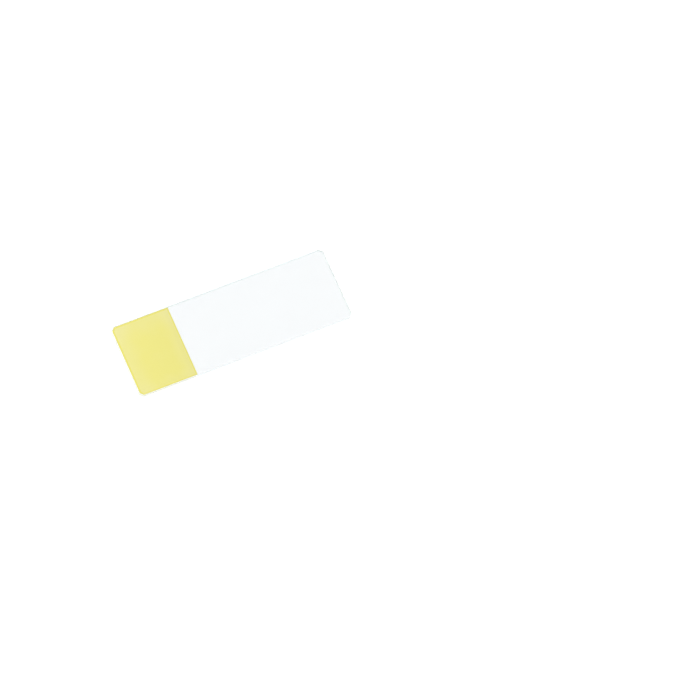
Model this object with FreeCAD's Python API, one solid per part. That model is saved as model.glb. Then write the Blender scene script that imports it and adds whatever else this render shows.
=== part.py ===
import FreeCAD, Part
import math
import os

# A microscope slide: a plate of glass with ground edges and clipped corners,
# and a coloured writing coat printed on one end of its top face.
# Millimetres, +Z up. The slide lies on its underside, and the origin is on
# that face, under the middle of the plate. +X runs along the length, from the
# printed end to the clear end.

# Glass plate
PLATE_LENGTH = 75.0         # along X
PLATE_WIDTH = 25.0          # along Y
PLATE_THICKNESS = 1.0       # along Z
CORNER_CLIP = 1.2           # leg of the 45 degree cut across each corner
CLIP_EDGE_RADIUS = 0.3      # rounds the two upright edges of each clip
ARRIS_WIDTH = 0.2           # 45 degree bevel ground along every sharp edge

# Writing coat, a screen-printed resin
COAT_LENGTH = 20.1          # from the end of the plate to the coat's inner edge
COAT_THICKNESS = 0.02
COAT_TO_ARRIS = 0.10        # flat glass left bare between the coat and the arris

# Planes that both pieces are built to
END_X = PLATE_LENGTH / 2
SIDE_Y = PLATE_WIDTH / 2
TOP_Z = PLATE_THICKNESS


def outline(inset=0.0):
    """The plate's eight-sided outline as a flat face, its sides moved in by the inset."""
    x = END_X - inset
    y = SIDE_Y - inset
    # A 45 degree side that moves in by the inset loses (2 - sqrt 2) of it from its leg.
    clip = CORNER_CLIP - inset * (2 - math.sqrt(2))
    corners = [
        (x, y - clip), (x - clip, y),
        (clip - x, y), (-x, y - clip),
        (-x, clip - y), (clip - x, -y),
        (x - clip, -y), (x, clip - y),
    ]
    points = [FreeCAD.Vector(px, py, 0) for px, py in corners]
    return Part.Face(Part.makePolygon(points + points[:1]))


def upright_edges(solid):
    """Edges that stand along Z."""
    return [e for e in solid.Edges if e.BoundBox.ZLength > PLATE_THICKNESS / 2]


def rim_edges(solid):
    """Edges of the top and bottom faces."""
    return [e for e in solid.Edges if e.BoundBox.ZLength < PLATE_THICKNESS / 2]


def make_plate():
    """Cut to its outline, with the clips' edges rounded and both rims ground to an arris."""
    blank = outline().extrude(FreeCAD.Vector(0, 0, PLATE_THICKNESS))
    rounded = blank.makeFillet(CLIP_EDGE_RADIUS, upright_edges(blank))
    return rounded.makeChamfer(ARRIS_WIDTH, rim_edges(rounded)).Solids[0]


def make_coat():
    """The outline set in past the arris and cut off square at the coat's inner edge."""
    sheet = outline(ARRIS_WIDTH + COAT_TO_ARRIS)
    sheet = sheet.extrude(FreeCAD.Vector(0, 0, COAT_THICKNESS))
    sheet.translate(FreeCAD.Vector(0, 0, TOP_Z))
    printed_end = Part.makeBox(
        COAT_LENGTH, PLATE_WIDTH, COAT_THICKNESS, FreeCAD.Vector(-END_X, -SIDE_Y, TOP_Z)
    )
    return sheet.common(printed_end).Solids[0]


def imprint(plate, coat):
    """The same plate with the coat's outline marked in its top face.

    The bare glass, where the specimen goes, is then a flat face of its own.
    """
    _, pieces = plate.generalFuse([coat])
    return pieces[0][0]


coat = make_coat()
parts = {
    "glass_plate": imprint(make_plate(), coat),
    "writing_coat": coat,
}

os.makedirs("parts", exist_ok=True)
for name, shape in parts.items():
    shape.exportStep(f"parts/{name}.step")
    box = shape.BoundBox
    size = f"{box.XLength:.2f} x {box.YLength:.2f} x {box.ZLength:.2f} mm"
    print(f"{name}: {size}, {len(shape.Faces)} faces, {shape.Volume:.3f} mm3")
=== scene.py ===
# %% [markdown]
# # A microscope slide
#
# The real object is one plate of thin glass, as long as a finger and one
# millimetre thick. Its corners are clipped, its edges are ground, and one end
# carries a coat of matte yellow ink to write on.
#
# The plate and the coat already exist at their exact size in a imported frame.
# This lesson loads that frame, models both pieces again with softer and more
# uneven edges than a drawing has, gives each a finish, and lights them.

# %% Load the frame
import math

import bmesh
import bpy
from mathutils import Euler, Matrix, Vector


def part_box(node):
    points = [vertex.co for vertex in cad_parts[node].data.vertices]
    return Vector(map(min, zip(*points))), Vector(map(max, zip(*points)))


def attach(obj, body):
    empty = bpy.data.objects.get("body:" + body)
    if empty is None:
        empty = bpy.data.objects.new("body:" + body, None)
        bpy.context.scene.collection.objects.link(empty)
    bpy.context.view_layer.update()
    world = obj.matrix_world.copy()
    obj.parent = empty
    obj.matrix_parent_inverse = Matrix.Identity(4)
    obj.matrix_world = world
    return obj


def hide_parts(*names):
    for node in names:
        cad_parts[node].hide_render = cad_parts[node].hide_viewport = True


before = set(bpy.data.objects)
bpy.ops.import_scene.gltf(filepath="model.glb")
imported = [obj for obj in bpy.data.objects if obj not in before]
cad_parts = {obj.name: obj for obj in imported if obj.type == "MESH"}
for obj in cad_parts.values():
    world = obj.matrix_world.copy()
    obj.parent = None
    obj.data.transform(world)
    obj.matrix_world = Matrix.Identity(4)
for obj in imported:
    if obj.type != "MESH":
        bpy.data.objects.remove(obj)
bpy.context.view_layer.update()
MM = 0.001

# %% [markdown]
# ## Sizes
#
# Where the pieces begin and end is read from the frame, so nothing has to be
# fitted by eye. The small sizes that a box can't tell, such as the clipped
# corners and the width of the bevel, are named here once and used by the
# shapes and by the finishes alike.

# %% Sizes
plate_low, plate_high = (Vector(corner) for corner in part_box("glass_plate"))
coat_low, coat_high = (Vector(corner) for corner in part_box("writing_coat"))
plate_middle = (plate_low + plate_high) / 2
coat_middle = (coat_low + coat_high) / 2

CORNER_CLIP = 1.2 * MM          # leg of the cut across each corner of the glass
CLIP_EDGE_RADIUS = 0.3 * MM     # rounds the two upright edges of each clip
ARRIS_WIDTH = 0.2 * MM          # bevel ground along the sharp edges
ARRIS_UNEVENNESS = 0.015 * MM   # how much its inner edge wanders
COAT_MARGIN = coat_low.x - plate_low.x
# A 45 degree side that moves in by a margin loses (2 - sqrt 2) of it from its leg.
COAT_CLIP = CORNER_CLIP - COAT_MARGIN * (2 - math.sqrt(2))
COAT_SINK = 0.002 * MM          # the ink grips the glass, with no air between
SHOULDER = 0.008 * MM           # rounds the top edge of the film
BEAD_CREST = 0.03 * MM          # ink that dried a little thicker at its border
BEAD_SLOPE = 0.08 * MM          # width of its slope down to the level film
BEAD_HEIGHT = 0.004 * MM
print("coat margin in mm:", round(COAT_MARGIN / MM, 3))
print("coat clip in mm:", round(COAT_CLIP / MM, 3))

# %% [markdown]
# ## Camera
#
# The slide lies flat, and the camera looks down on it from beside the coated
# end with a long lens, from so far away that the sides stay almost parallel.
# A camera is easiest to place by what it does: the point it looks at, the
# direction it stands in, its distance, and how far it leans to one side. An
# azimuth of 0 stands in front of the slide, and one of 90 degrees beyond its
# clear end.

# %% Camera
VIEW_AZIMUTH = math.radians(-46.04)
VIEW_ELEVATION = math.radians(69.48)
VIEW_LEAN = math.radians(23.21)
VIEW_DISTANCE = 1.6092          # metres
VIEW_LENS = 257.14              # mm
VIEW_END = 10                   # metres, past the table
view_point = Vector((31.82 * MM, -22.65 * MM, plate_high.z))


def facing(azimuth, elevation):
    """The direction from the slide to something at an azimuth and an elevation."""
    level = math.cos(elevation)
    return Vector(
        (math.sin(azimuth) * level, -math.cos(azimuth) * level, math.sin(elevation))
    )


away = facing(VIEW_AZIMUTH, VIEW_ELEVATION)
bpy.ops.object.camera_add(location=view_point + away * VIEW_DISTANCE)
camera = bpy.context.object
camera.name = "camera"
upright = (-away).to_track_quat("-Z", "Y")
lean = Euler((0, 0, VIEW_LEAN)).to_quaternion()
camera.rotation_euler = (upright @ lean).to_euler()
camera.data.lens = VIEW_LENS
camera.data.clip_end = VIEW_END
bpy.context.scene.camera = camera
print("camera stands at:", [round(value, 3) for value in camera.location])

# %% [markdown]
# ## Working by hand, in code
#
# Modelling operators act on whatever is selected. These helpers do what a
# person does between two operations: let go of everything, go into edit mode,
# and pick edges or faces by where they are.

# %% Selecting
CLOSE = 1e-4 * MM               # coordinates nearer than this are the same


def let_go():
    """Leave edit mode and deselect every object."""
    if bpy.context.object and bpy.context.object.mode != "OBJECT":
        bpy.ops.object.mode_set(mode="OBJECT")
    bpy.ops.object.select_all(action="DESELECT")


def take(piece):
    """Select one piece alone and make it the active one."""
    let_go()
    piece.select_set(True)
    bpy.context.view_layer.objects.active = piece


def edit(piece, kind="EDGE"):
    """Go into edit mode on one piece, with nothing selected."""
    take(piece)
    bpy.ops.object.mode_set(mode="EDIT")
    bpy.ops.mesh.select_mode(type=kind)
    bpy.ops.mesh.select_all(action="DESELECT")


def pick(piece, kind, wanted):
    """In edit mode, select the verts, edges or faces for which wanted is true."""
    mesh = bmesh.from_edit_mesh(piece.data)
    bpy.ops.mesh.select_all(action="DESELECT")
    chosen = [item for item in getattr(mesh, kind) if wanted(item)]
    for item in chosen:
        item.select_set(True)
    bmesh.update_edit_mesh(piece.data)
    return len(chosen)


def near(a, b):
    """True where two coordinates are the same."""
    return abs(a - b) < CLOSE


def is_upright(edge):
    """An edge that stands along Z."""
    a, b = (vert.co for vert in edge.verts)
    return near(a.x, b.x) and near(a.y, b.y)


def lies_at(height):
    """A test for edges and faces that lie flat at a height."""
    return lambda item: all(near(vert.co.z, height) for vert in item.verts)


# %% [markdown]
# ## Glass plate
#
# A slide is scored and snapped from a sheet of float glass. Its corners are
# clipped so that they don't catch in a machine or a glove, and a belt grinds
# its edges, which leaves a narrow bevel, the arris, along the top and the
# bottom.
#
# The plate starts as a cube of the right size and is cut in the same order as
# the real one: corners first, then their sharp edges, then the arris. A bevel
# of one segment is a straight cut, and more segments make it round.

# %% Glass plate: blank with clipped corners
CUT = 1                         # segments of a bevel that is a straight cut
ROUND_STEPS = 4                 # segments of a rounded upright edge
FULL_ROUND = 0.5                # profile of a bevel that is an arc

let_go()
bpy.ops.mesh.primitive_cube_add(size=1, location=plate_middle)
glass = bpy.context.object
glass.name = "slide_glass"
glass.scale = plate_high - plate_low
bpy.ops.object.transform_apply(location=True, rotation=True, scale=True)

edit(glass)
pick(glass, "edges", is_upright)
bpy.ops.mesh.bevel(offset=CORNER_CLIP, segments=CUT, affect="EDGES")

corner_count = pick(glass, "edges", is_upright)
# A round of this radius on a turn of 45 degrees starts this far from the edge.
round_offset = CLIP_EDGE_RADIUS * math.tan(math.radians(45) / 2)
bpy.ops.mesh.bevel(
    offset=round_offset, segments=ROUND_STEPS, profile=FULL_ROUND, affect="EDGES"
)
print("clipped corners, upright edges rounded:", corner_count)

# %% [markdown]
# A belt never grinds quite evenly. For the arris to wander, the sides need
# points along their length, so the long edges are divided before the bevel.
# The bevel has three narrow strips instead of one, which leaves it slightly
# crowned, as a belt does.

# %% Glass plate: ground arris
SIDE_PIECES = 60
END_PIECES = 20
LONGEST_CORNER_EDGE = 10 * MM   # no edge of a clipped corner is as long
ARRIS_STRIPS = 3
BELT_CROWN = 0.4                # profile of a bevel between flat, 0.25, and an arc
WALL_LEAN = 0.5                 # a face whose normal rises less than this is a wall


def runs_along(axis):
    """A test for flat edges that run the length of a side, along X (0) or Y (1)."""
    def test(edge):
        run = edge.verts[1].co - edge.verts[0].co
        is_long = abs(run[axis]) > LONGEST_CORNER_EDGE
        return is_long and near(run[1 - axis], 0) and near(run.z, 0)
    return test


pick(glass, "edges", runs_along(0))
bpy.ops.mesh.subdivide(number_cuts=SIDE_PIECES - 1)
pick(glass, "edges", runs_along(1))
bpy.ops.mesh.subdivide(number_cuts=END_PIECES - 1)


def on_rim(edge):
    """An edge of the top or bottom outline."""
    top = lies_at(plate_high.z)(edge)
    bottom = lies_at(plate_low.z)(edge)
    on_wall = any(abs(face.normal.z) < WALL_LEAN for face in edge.link_faces)
    return (top or bottom) and on_wall


rim_count = pick(glass, "edges", on_rim)
bpy.ops.mesh.bevel(
    offset=ARRIS_WIDTH, segments=ARRIS_STRIPS, profile=BELT_CROWN, affect="EDGES"
)
bpy.ops.object.mode_set(mode="OBJECT")
print("rim edges ground:", rim_count, "faces:", len(glass.data.polygons))

# %% [markdown]
# The inner edge of the arris is now moved in and out by a cloud pattern. A
# Displace modifier does it, held to the points on that edge by a vertex group
# and to one direction, so that the polished faces stay perfectly flat.

# %% Glass plate: uneven arris
BELT_WAVE = 1.6 * MM            # size of the clouds that the edge wanders by
BELT_WAVE_DETAIL = 2            # octaves of finer clouds

unevenness = bpy.data.textures.new("belt_unevenness", "CLOUDS")
unevenness.noise_scale = BELT_WAVE
unevenness.noise_depth = BELT_WAVE_DETAIL


def inner_rim(axis):
    """The points where the arris meets a polished face, on sides that face X (0) or Y (1)."""
    reach = plate_high[axis] - ARRIS_WIDTH
    return [
        vert.index
        for vert in glass.data.vertices
        if near(abs(vert.co[axis]), reach)
        and (near(vert.co.z, plate_high.z) or near(vert.co.z, plate_low.z))
    ]


moved = 0
for axis, direction in ((0, "X"), (1, "Y")):
    points = inner_rim(axis)
    moved += len(points)
    group = glass.vertex_groups.new(name=f"arris_{direction}")
    group.add(points, 1.0, "REPLACE")
    modifier = glass.modifiers.new(f"wander_{direction}", "DISPLACE")
    modifier.texture = unevenness
    modifier.texture_coords = "LOCAL"
    modifier.direction = direction
    modifier.vertex_group = group.name
    modifier.strength = ARRIS_UNEVENNESS
    bpy.context.view_layer.objects.active = glass
    bpy.ops.object.modifier_apply(modifier=modifier.name)
glass.vertex_groups.clear()
print("points moved on the inner edge of the arris:", moved)

# %% [markdown]
# Smooth shading blends the light across the narrow strips of the arris. It
# mustn't run on into the polished faces, which would then look domed, so the
# edges round them are marked sharp.

# %% Glass plate: smooth shading
LEVEL = 0.9999                  # a face whose normal rises more than this is level


def bounds_polish(edge):
    """An edge between a polished face and the arris."""
    polished = [abs(face.normal.z) > LEVEL for face in edge.link_faces]
    return any(polished) and not all(polished)


edit(glass)
sharp_count = pick(glass, "edges", bounds_polish)
bpy.ops.mesh.mark_sharp()
take(glass)
bpy.ops.object.shade_smooth(keep_sharp_edges=True)
print("edges kept sharp round the polished faces:", sharp_count)
print("glass plate:", len(glass.data.polygons), "faces")

# %% [markdown]
# ## Writing coat
#
# The coat is ink pushed through a screen: a film a fiftieth of a millimetre
# thick, with straight sides that stop just short of the arris. Wet ink draws
# back from its border and dries there into a bead, a hair thicker than the
# rest.
#
# It starts as a flat plane. Its outer corners are cut like those of the
# glass, all its corners are eased, and it is raised to a film. Two insets
# then lower the middle and leave the bead standing.

# %% Writing coat: outline
EASED_CORNER = 0.08 * MM        # wet ink rounds a corner by this much
EASED_STEPS = 3

let_go()
coat_size = coat_high - coat_low
coat_base = coat_low.z - COAT_SINK
bpy.ops.mesh.primitive_plane_add(
    size=1, location=(coat_middle.x, coat_middle.y, coat_base)
)
coat = bpy.context.object
coat.name = "slide_coat"
coat.scale = (coat_size.x, coat_size.y, 1)
bpy.ops.object.transform_apply(location=True, rotation=True, scale=True)

edit(coat, "VERT")
pick(coat, "verts", lambda vert: near(vert.co.x, coat_low.x))
bpy.ops.mesh.bevel(offset=COAT_CLIP, segments=CUT, affect="VERTICES")
bpy.ops.mesh.select_all(action="SELECT")
bpy.ops.mesh.bevel(offset=EASED_CORNER, segments=EASED_STEPS, affect="VERTICES")
print("coat outline points:", len(bmesh.from_edit_mesh(coat.data).verts))

# %% [markdown]
# The film is raised in small steps. A bevel loses its footing on an edge this
# thin, and an inset doesn't, so each inset here draws the top in by a little
# and lifts or lowers it: two steps round the shoulder, one makes the crest of
# the bead, and the last one slopes down to the level film.

# %% Writing coat: film and bead
SMOOTH_TURN = math.radians(50)  # edges that turn by more than this stay sharp

film_height = coat_high.z - coat_base
bpy.ops.mesh.select_mode(type="FACE")
bpy.ops.mesh.select_all(action="SELECT")
bpy.ops.mesh.extrude_region_move(
    TRANSFORM_OT_translate={"value": (0, 0, film_height - SHOULDER)}
)
bpy.ops.mesh.select_all(action="SELECT")
bpy.ops.mesh.normals_make_consistent(inside=False)

pick(coat, "faces", lies_at(coat_base + film_height - SHOULDER))
steep = SHOULDER * math.sin(math.radians(45))
flat = SHOULDER - steep
bpy.ops.mesh.inset(thickness=flat, depth=steep)
bpy.ops.mesh.inset(thickness=steep, depth=flat)
bpy.ops.mesh.inset(thickness=BEAD_CREST, depth=0)
bpy.ops.mesh.inset(thickness=BEAD_SLOPE, depth=-BEAD_HEIGHT)

take(coat)
bpy.ops.object.shade_smooth_by_angle(angle=SMOOTH_TURN)
print("coat:", len(coat.data.polygons), "faces, film", round(film_height / MM, 4), "mm")

# %% [markdown]
# ## Building finishes
#
# A finish is a small tree of nodes. Two helpers keep the trees readable: one
# places a node with its settings and inputs, the other does arithmetic. An
# input takes either a number or the output of another node.

# %% Placing nodes
def feed(tree, socket, value):
    """Link an output to a socket, or set the socket's own value."""
    if isinstance(value, bpy.types.NodeSocket):
        tree.links.new(value, socket)
    else:
        socket.default_value = value


def place(tree, kind, label, inputs=None, **settings):
    """Add a node of a kind, with its settings and its inputs by name or number."""
    node = tree.nodes.new(kind)
    node.label = label
    node.location = (220 * len(tree.nodes), 0)
    for name, value in settings.items():
        setattr(node, name, value)
    for name, value in (inputs or {}).items():
        feed(tree, node.inputs[name], value)
    return node


def calc(tree, label, operation, *values):
    """A Math node's result."""
    inputs = dict(enumerate(values))
    return place(tree, "ShaderNodeMath", label, inputs, operation=operation).outputs[0]


def fade(tree, label, value, start, end, low=0.0, high=1.0):
    """Goes smoothly from low to high as a value goes from start to end."""
    inputs = {"Value": value, "From Min": start, "From Max": end}
    inputs.update({"To Min": low, "To Max": high})
    node = place(
        tree, "ShaderNodeMapRange", label, inputs, interpolation_type="SMOOTHSTEP"
    )
    return node.outputs["Result"]


def mix_colours(tree, label, factor, first, second):
    """The first colour where the factor is 0, the second where it is 1."""
    node = place(tree, "ShaderNodeMix", label, data_type="RGBA")
    feed(tree, node.inputs[0], factor)
    feed(tree, node.inputs[6], first)
    feed(tree, node.inputs[7], second)
    return node.outputs[2]


def new_effect(name, inputs, outputs):
    """An empty node group with named inputs and outputs, and its two end nodes."""
    tree = bpy.data.node_groups.new(name, "ShaderNodeTree")
    for label, kind in inputs:
        tree.interface.new_socket(label, in_out="INPUT", socket_type=kind)
    for label, kind in outputs:
        tree.interface.new_socket(label, in_out="OUTPUT", socket_type=kind)
    begin = tree.nodes.new("NodeGroupInput")
    end = tree.nodes.new("NodeGroupOutput")
    return tree, begin, end


def new_finish(name):
    """A material with only a Principled shader and its output."""
    material = bpy.data.materials.new(name)
    material.use_nodes = True
    tree = material.node_tree
    tree.nodes.clear()
    shader = place(tree, "ShaderNodeBsdfPrincipled", name)
    output = place(tree, "ShaderNodeOutputMaterial", "output")
    tree.links.new(shader.outputs["BSDF"], output.inputs["Surface"])
    return material, tree, shader, output


def paint(red, green, blue):
    """A display colour of 0 to 255 as the linear colour that shaders work in."""
    def linear(value):
        value /= 255
        return value / 12.92 if value <= 0.04045 else ((value + 0.055) / 1.055) ** 2.4
    return (linear(red), linear(green), linear(blue), 1.0)


print("middle grey as a linear colour:", [round(value, 3) for value in paint(128, 128, 128)])

# %% [markdown]
# ## Effect: distance from the border
#
# Both pieces change towards their border: the glass is ground there, and the
# ink dries deeper in colour. Both have the same outline, a rectangle with cut
# corners, so one effect serves them. It is given a place in millimetres from
# the middle of the outline and answers how far inside the border that is.

# %% Effect: distance from the border
NUMBER, ARROW = "NodeSocketFloat", "NodeSocketVector"

border_distance, begin, end = new_effect(
    "border_distance",
    [
        ("Place", ARROW),
        ("Half Length", NUMBER),
        ("Half Width", NUMBER),
        ("Corner Clip", NUMBER),
        ("Clip Far End", NUMBER),
    ],
    [("Distance", NUMBER)],
)
tree = border_distance
place_xyz = place(tree, "ShaderNodeSeparateXYZ", "place", {0: begin.outputs["Place"]})
x, y = place_xyz.outputs["X"], place_xyz.outputs["Y"]
from_ends = calc(
    tree, "from ends", "SUBTRACT", begin.outputs["Half Length"],
    calc(tree, "along", "ABSOLUTE", x),
)
from_sides = calc(
    tree, "from sides", "SUBTRACT", begin.outputs["Half Width"],
    calc(tree, "across", "ABSOLUTE", y),
)
# The far end may have square corners: its clip then counts as none.
far_end = calc(tree, "far end", "GREATER_THAN", x, 0.0)
kept = calc(tree, "clip kept", "SUBTRACT", 1.0, far_end)
kept = calc(
    tree, "clip kept", "MULTIPLY_ADD", far_end, begin.outputs["Clip Far End"], kept
)
clip = calc(tree, "clip", "MULTIPLY", begin.outputs["Corner Clip"], kept)
both = calc(tree, "both", "ADD", from_ends, from_sides)
from_clips = calc(
    tree, "from clips", "MULTIPLY", calc(tree, "past clip", "SUBTRACT", both, clip),
    math.sqrt(0.5),
)
nearest = calc(tree, "nearest", "MINIMUM", from_ends, from_sides)
nearest = calc(tree, "nearest", "MINIMUM", nearest, from_clips)
feed(tree, end.inputs["Distance"], nearest)
print("effect:", border_distance.name, len(tree.nodes), "nodes")

# %% [markdown]
# ## Effect: grain
#
# Ground glass and matte ink are rough for different reasons, but both show a
# fine grain with a softer unevenness under it. This effect gives both as
# heights from 0 to 1: the grain can be stretched along an edge to look like
# the scratches of a belt, and the clouds are large and slow.

# %% Effect: grain
GRAIN_DETAIL = 3.0              # octaves of finer noise in the grain
GRAIN_HARSHNESS = 0.6           # how much the finer noise counts
CLOUD_DETAIL = 2.0
USUAL_SPAN = (0.3, 0.7)         # most heights of the grain and of the clouds lie between

surface_grain, begin, end = new_effect(
    "surface_grain",
    [("Place", ARROW), ("Stretch", ARROW), ("Grain Size", NUMBER), ("Cloud Size", NUMBER)],
    [("Grain", NUMBER), ("Clouds", NUMBER)],
)
tree = surface_grain
stretched = place(
    tree, "ShaderNodeVectorMath", "stretched",
    {0: begin.outputs["Place"], 1: begin.outputs["Stretch"]}, operation="DIVIDE",
).outputs[0]
per_grain = calc(tree, "per grain", "DIVIDE", 1.0, begin.outputs["Grain Size"])
per_cloud = calc(tree, "per cloud", "DIVIDE", 1.0, begin.outputs["Cloud Size"])
grain = place(
    tree, "ShaderNodeTexNoise", "grain",
    {
        "Vector": stretched, "Scale": per_grain,
        "Detail": GRAIN_DETAIL, "Roughness": GRAIN_HARSHNESS,
    },
)
clouds = place(
    tree, "ShaderNodeTexNoise", "clouds",
    {"Vector": begin.outputs["Place"], "Scale": per_cloud, "Detail": CLOUD_DETAIL},
)
feed(tree, end.inputs["Grain"], grain.outputs[0])
feed(tree, end.inputs["Clouds"], clouds.outputs[0])
print("effect:", surface_grain.name, len(tree.nodes), "nodes")

# %% [markdown]
# ## Both effects on a piece
#
# The glass and the ink use the two effects in the same way, with their own
# sizes. A piece's Object coordinates are in metres, so they are turned into
# millimetres from the middle of its outline first.

# %% Both effects on a piece
def place_effects(tree, middle, size, clip, far_clip, stretch, grain_size, cloud_size):
    """A piece's place in mm, and its border distance, grain and clouds there."""
    coordinates = place(tree, "ShaderNodeTexCoord", "coordinates").outputs["Object"]
    in_mm = place(
        tree, "ShaderNodeMapping", "metres to mm, from the middle",
        {"Vector": coordinates, "Location": -middle / MM, "Scale": (1 / MM,) * 3},
    ).outputs[0]
    half = size / 2 / MM
    border = place(
        tree, "ShaderNodeGroup", "distance from the border",
        {
            "Place": in_mm, "Half Length": half.x, "Half Width": half.y,
            "Corner Clip": clip / MM, "Clip Far End": far_clip,
        },
        node_tree=border_distance,
    )
    grain = place(
        tree, "ShaderNodeGroup", "grain",
        {
            "Place": in_mm, "Stretch": stretch,
            "Grain Size": grain_size, "Cloud Size": cloud_size,
        },
        node_tree=surface_grain,
    )
    return in_mm, border.outputs["Distance"], grain.outputs["Grain"], grain.outputs["Clouds"]


print("effects:", [group.name for group in bpy.data.node_groups])

# %% [markdown]
# ## Finish: clear glass with a ground edge
#
# The flat faces of the plate are as smooth as the melt left them, and the
# edges are covered with tiny pits that scatter light. Both are the same
# glass, so they are one material, and a mask tells them apart: it is 1 on the
# arris and the walls, and 0 on the faces. Grain added to its distance makes
# little chips, where the grinding bit in a bit further.

# %% Clear glass: where it is ground
BELT_STRETCH = (1.0, 1.0, 0.4)
BELT_GRAIN = 0.12               # mm
BELT_CLOUDS = 2.5               # mm
CHIP_GRAIN = (0.55, 0.75)       # heights of the grain where a chip begins and is full
CHIP_REACH = 0.02               # mm that chips reach in past the arris
GROUND_MARGIN = 0.01            # mm past the arris that are ground everywhere
GROUND_FADE = 0.02              # mm from ground to polished

glass_finish, tree, shader, output = new_finish("clear_glass")
_, from_border, grain, clouds = place_effects(
    tree, plate_middle, plate_high - plate_low, CORNER_CLIP, 1.0,
    BELT_STRETCH, BELT_GRAIN, BELT_CLOUDS,
)
chips = fade(tree, "chips", grain, *CHIP_GRAIN, 0.0, CHIP_REACH)
least_reach = ARRIS_WIDTH / MM + GROUND_MARGIN
reach = calc(tree, "reach", "ADD", chips, least_reach)
inside = calc(tree, "inside", "SUBTRACT", from_border, reach)
ground = fade(tree, "ground", inside, 0.0, GROUND_FADE, 1.0, 0.0)
print("ground edge reaches in, in mm:", round(least_reach, 3))
print("chips reach in, in mm:", round(least_reach + CHIP_REACH, 3))

# %% [markdown]
# Grinding leaves the surface rough, and it leaves fine cracks just under it.
# The cracks throw much of the light straight back, which is why a ground edge
# looks white and not merely dull. A rough coat layer that bends light far more
# than the glass does the same. It has the mask as its weight, so it is only
# on the edge.

# %% Clear glass: polished and ground surface
GLASS_BENDS = 1.52              # index of refraction
CRACKS_BEND = 4.0               # index of the layer that stands for the cracks
GROUND_ROUGHNESS = 0.5
CLOUD_FACTORS = (0.85, 1.15)    # the clouds change that roughness by these
PIT_STRENGTH = 0.25
PIT_DEPTH = 0.02 * MM
CLEAR_COLOUR = (0.868, 0.878, 0.884, 1.0)   # light that a polished face lets through
GROUND_COLOUR = (0.93, 0.99, 1.0, 1.0)      # light that a ground face lets through

cloudy = fade(tree, "cloudy", clouds, *USUAL_SPAN, *CLOUD_FACTORS)
rough = calc(tree, "rough", "MULTIPLY", ground, GROUND_ROUGHNESS)
rough = calc(tree, "rough", "MULTIPLY", rough, cloudy)
pits = calc(tree, "pits", "MULTIPLY", grain, ground)
pitted = place(
    tree, "ShaderNodeBump", "pits",
    {"Height": pits, "Strength": PIT_STRENGTH, "Distance": PIT_DEPTH},
)
colour = mix_colours(tree, "clear or ground", ground, CLEAR_COLOUR, GROUND_COLOUR)
feed(tree, shader.inputs["Base Color"], colour)
feed(tree, shader.inputs["Roughness"], rough)
feed(tree, shader.inputs["IOR"], GLASS_BENDS)
feed(tree, shader.inputs["Transmission Weight"], 1.0)
feed(tree, shader.inputs["Coat Weight"], ground)
feed(tree, shader.inputs["Coat Roughness"], GROUND_ROUGHNESS)
feed(tree, shader.inputs["Coat IOR"], CRACKS_BEND)
feed(tree, shader.inputs["Normal"], pitted.outputs["Normal"])
print("roughness of the ground edge:", GROUND_ROUGHNESS)

# %% [markdown]
# The glass holds a trace of iron, which takes out some red light. One
# millimetre of it is nearly colourless, and the long way through the plate is
# sea green. A volume that absorbs light does this by depth, as in the melt.

# %% Clear glass: trace of iron
IRON_COLOUR = (0.0, 0.70, 0.84, 1.0)
IRON_DENSITY = 12.0             # per metre

iron = place(
    tree, "ShaderNodeVolumeAbsorption", "trace of iron",
    {"Color": IRON_COLOUR, "Density": IRON_DENSITY},
)
feed(tree, output.inputs["Volume"], iron.outputs["Volume"])
glass.data.materials.append(glass_finish)
red_left = math.exp(-IRON_DENSITY * (1 - IRON_COLOUR[0]) * (plate_high.y - plate_low.y))
print("red light left after the width of the plate:", round(red_left, 2))
print("finish:", glass_finish.name, len(tree.nodes), "nodes")

# %% [markdown]
# ## Finish: matte yellow ink
#
# The ink is a resin full of yellow pigment and a fine white filler. It isn't
# one even colour, and it changes at its own rate from each side of the coat,
# so the distance from each side is measured first.

# %% Yellow ink: distance from each side
TOOTH_STRETCH = (1.0, 1.0, 1.0)
TOOTH_GRAIN = 0.08              # mm
TOOTH_CLOUDS = 5.0              # mm

ink_finish, tree, shader, _ = new_finish("matte_ink")
in_mm, from_border, grain, clouds = place_effects(
    tree, coat_middle, coat_size, COAT_CLIP, 0.0,
    TOOTH_STRETCH, TOOTH_GRAIN, TOOTH_CLOUDS,
)
half = coat_size / 2 / MM
split = place(tree, "ShaderNodeSeparateXYZ", "place", {0: in_mm})
x, y = split.outputs["X"], split.outputs["Y"]
side_distance = {
    "outer end": calc(tree, "from outer end", "ADD", x, half.x),
    "inner end": calc(tree, "from inner end", "SUBTRACT", half.x, x),
    "back side": calc(tree, "from back side", "SUBTRACT", half.y, y),
    "front side": calc(tree, "from front side", "ADD", y, half.y),
}
print("coat in mm:", round(2 * half.x, 2), "by", round(2 * half.y, 2))

# %% [markdown]
# The bead at the border is thick and deep in colour. Next to it the film is painted paler, a
# painted light that stands for light coming in through the edge of the glass, and this
# painted light fades out over a few millimetres. Both differ from side to side.

# %% Yellow ink: painted edge light and deep bead
INK_BODY = paint(232, 225, 126)
# painted light: the paler film near the border, as if lit through the edge of the glass
INK_PALE = paint(232, 226, 150)
INK_BEAD = paint(229, 221, 104)
BEAD_INSIDE = 0.4               # mm from the border, where the bead begins to fade
BEAD_END = 0.7
SIDE_END = 1.0                  # mm from a side, where its own bead no longer counts
WANDER = 0.08                   # random unevenness of the film's tone, added to the painted edge light
SIDES = {   # side: (reach of the painted edge light in mm, its strength, the bead's, how narrow it is)
    "outer end": (7.2, 0.58, 1.0, 1.0),
    "back side": (8.5, 0.52, 0.85, 1.0),
    "inner end": (5.3, 0.49, 1.0, 1.3),
    "front side": (5.3, 0.28, 0.5, 1.0),
}

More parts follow.
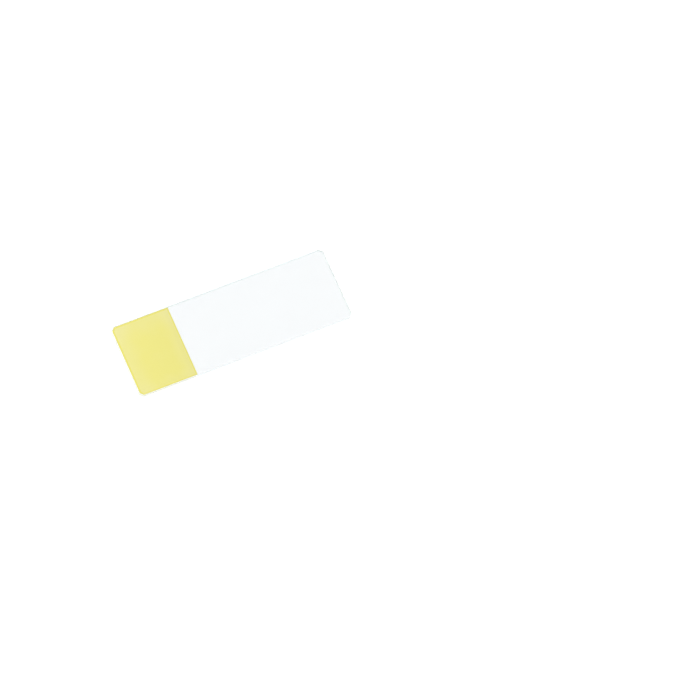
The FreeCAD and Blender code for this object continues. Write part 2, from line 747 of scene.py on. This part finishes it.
mottle_and_edge_light = fade(tree, "wander", clouds, *USUAL_SPAN, -WANDER, WANDER)
bead_depth = 1.0
for side, (reach, paleness, depth, narrowness) in SIDES.items():
    from_side = side_distance[side]
    # painted light, paler towards each side
    painted_edge_light = fade(tree, side, from_side, BEAD_INSIDE, reach, paleness, 0.0)
    mottle_and_edge_light = calc(tree, "mottle_and_edge_light", "ADD", mottle_and_edge_light, painted_edge_light)
    narrower = fade(tree, side, from_side, BEAD_INSIDE, SIDE_END, narrowness, 1.0)
    from_border = calc(tree, "from border", "MULTIPLY", from_border, narrower)
    fainter = fade(tree, side, from_side, BEAD_INSIDE, SIDE_END, depth, 1.0)
    bead_depth = calc(tree, "bead depth", "MULTIPLY", bead_depth, fainter)
bead = fade(tree, "bead", from_border, BEAD_INSIDE, BEAD_END, 1.0, 0.0)
bead = calc(tree, "bead", "MULTIPLY", bead, bead_depth)
colour = mix_colours(tree, "film", mottle_and_edge_light, INK_BODY, INK_PALE)
colour = mix_colours(tree, "bead", bead, colour, INK_BEAD)
print("sides of the coat:", list(SIDES))

# %% [markdown]
# The film is painted a touch darker towards the inner end and towards the front side: painted
# shade, for light that falls from beyond the outer end and the back side. Near the inner end
# a faint band is darker too. These are factors near 1 that the colour is multiplied by.

# %% Yellow ink: painted shade and a darker band
SHADE_ALONG = (1.0, 0.965)           # from the outer end to the inner end
SHADE_ACROSS = (1.005, 0.99)            # from the back side to the front side
DARKER_BAND = (0.9, 2.6, 0.976)   # mm from the inner end, from and to, and the factor

# painted shade, darker towards the inner end
shade_along = fade(tree, "shade_along", side_distance["outer end"], 0.0, 2 * half.x, *SHADE_ALONG)
# painted shade, darker towards the front side
lean = fade(tree, "lean", side_distance["back side"], 0.0, 2 * half.y, *SHADE_ACROSS)
# a faint darker band near the inner end
band_start, band_end, band_factor = DARKER_BAND
band = fade(
    tree, "dull band", side_distance["inner end"], band_start, band_end, band_factor, 1.0
)
factor = calc(tree, "stroke and lean", "MULTIPLY", shade_along, lean)
factor = calc(tree, "all three", "MULTIPLY", factor, band)
darker = place(tree, "ShaderNodeVectorMath", "darker", {0: colour}, operation="SCALE")
feed(tree, darker.inputs["Scale"], factor)
colour = darker.outputs[0]
print("darkest corner's factor:", round(SHADE_ALONG[1] * SHADE_ACROSS[1] * band_factor, 3))

# %% [markdown]
# The filler stands out of the resin as a fine tooth, which takes a pencil.
# Where it is dense the ink is whiter, and everywhere it is dull. So the one
# grain drives the colour, the roughness and the height of the bump.

# %% Yellow ink: filler and tooth
INK_FILLER = paint(246, 243, 205)
FILLER_GRAIN = (0.3, 0.8)       # heights of the grain where filler begins and is full
FILLER_SHOWS = 0.09
DULLNESS = (0.72, 0.86)         # roughness at the bottom and at the top of the grain
TOOTH_STRENGTH = 0.25
TOOTH_DEPTH = 0.01 * MM

filler = fade(tree, "filler", grain, *FILLER_GRAIN, 0.0, FILLER_SHOWS)
colour = mix_colours(tree, "filler", filler, colour, INK_FILLER)
dull = fade(tree, "dull", grain, *USUAL_SPAN, *DULLNESS)
toothed = place(
    tree, "ShaderNodeBump", "tooth",
    {"Height": grain, "Strength": TOOTH_STRENGTH, "Distance": TOOTH_DEPTH},
)
feed(tree, shader.inputs["Base Color"], colour)
feed(tree, shader.inputs["Roughness"], dull)
feed(tree, shader.inputs["Normal"], toothed.outputs["Normal"])
coat.data.materials.append(ink_finish)
print("finish:", ink_finish.name, len(tree.nodes), "nodes")

# %% [markdown]
# ## Floor
#
# Clear glass looks clean when it is white all round and a little brighter
# behind it than in front, as on a light table, a white sheet lit from below.
# So this plain floor reflects a little light and gives off the rest.

# %% Floor
FLOOR_SIZE = 12                 # metres, far past what the camera sees
FLOOR_GAP = 0.02 * MM
FLOOR_GREY = 0.2
FLOOR_GLOW = 0.95
FLOOR_ROUGHNESS = 0.9

let_go()
bpy.ops.mesh.primitive_plane_add(size=FLOOR_SIZE, location=(0, 0, -FLOOR_GAP))
floor = bpy.context.object
floor.name = "table"
floor_finish, tree, shader, _ = new_finish("white_table")
feed(tree, shader.inputs["Base Color"], (FLOOR_GREY, FLOOR_GREY, FLOOR_GREY, 1.0))
feed(tree, shader.inputs["Emission Color"], (1.0, 1.0, 1.0, 1.0))
feed(tree, shader.inputs["Emission Strength"], FLOOR_GLOW)
feed(tree, shader.inputs["Roughness"], FLOOR_ROUGHNESS)
feed(tree, shader.inputs["Specular IOR Level"], 0.0)
floor.data.materials.append(floor_finish)
print("floor lies below the slide by, in mm:", round(FLOOR_GAP / MM, 3))

# %% [markdown]
# ## Room light
#
# The room is white at the horizon and greyer overhead. The face of the glass
# mirrors what is above it, so the grey keeps it a touch darker than the
# table, while the edges, which mirror what is beside them, stay bright.

# %% Room light
ROOM_STRENGTH = 1.02
ROOM_GREYS = ((0.05, 1.0), (0.4, 0.82), (1.0, 0.62))    # height of a direction, grey there

world = bpy.data.worlds.new("white_room")
bpy.context.scene.world = world
world.use_nodes = True
tree = world.node_tree
tree.nodes.clear()
direction = place(tree, "ShaderNodeTexCoord", "direction").outputs["Generated"]
up = place(tree, "ShaderNodeSeparateXYZ", "up", {0: direction}).outputs["Z"]
ramp = place(tree, "ShaderNodeValToRGB", "horizon to overhead", {0: up})
stops = ramp.color_ramp.elements
stops.new(ROOM_GREYS[1][0])
for stop, (height, grey) in zip(stops, ROOM_GREYS):
    stop.position = height
    stop.color = (grey, grey, grey, 1.0)
background = place(
    tree, "ShaderNodeBackground", "room",
    {"Color": ramp.outputs["Color"], "Strength": ROOM_STRENGTH},
)
output = place(tree, "ShaderNodeOutputWorld", "output")
tree.links.new(background.outputs[0], output.inputs["Surface"])
print("room greys from the horizon up:", [round(stop.color[0], 2) for stop in stops])

# %% [markdown]
# ## Soft key light
#
# One broad light stands high behind the slide. It is as wide as a large
# softbox held close, so it models the ink and throws no hard shadow. The
# Standard view transform shows the colours as they were mixed.

# %% Soft key light
KEY_AZIMUTH = math.radians(250)
KEY_ELEVATION = math.radians(55)
KEY_STRENGTH = 1.35
KEY_WIDTH = math.radians(60)

let_go()
towards = facing(KEY_AZIMUTH, KEY_ELEVATION)
bpy.ops.object.light_add(type="SUN", location=towards)
key = bpy.context.object
key.name = "key_light"
key.data.energy = KEY_STRENGTH
key.data.angle = KEY_WIDTH
key.rotation_euler = towards.to_track_quat("Z", "Y").to_euler()
bpy.context.scene.view_settings.view_transform = "Standard"
print("key light stands towards:", [round(value, 2) for value in towards])

# %% [markdown]
# ## Light inside the glass
#
# A render engine saves time on glass: it blurs it in indirect light, and it
# gives up on a ray after a few turns. Both make a clear plate cast a grey
# shadow and its edges go dark. Light that enters the edge of a slide runs
# from end to end between its faces, so it is given the turns it needs.

# %% Light inside the glass
TURNS = 48

rays = bpy.context.scene.cycles
rays.blur_glossy = 0.0
rays.max_bounces = TURNS
rays.glossy_bounces = TURNS
rays.transmission_bounces = TURNS
print("turns a ray may take:", rays.transmission_bounces)

# %% [markdown]
# ## Hand over
#
# Each new piece rides on the one body of the frame and takes the place of the node it was
# modelled from, which is hidden.

# %% Hand over
for piece, node, slot in (
    (glass, "glass_plate", "glass"),
    (coat, "writing_coat", "coat"),
):
    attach(piece, "root")
    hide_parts(node)
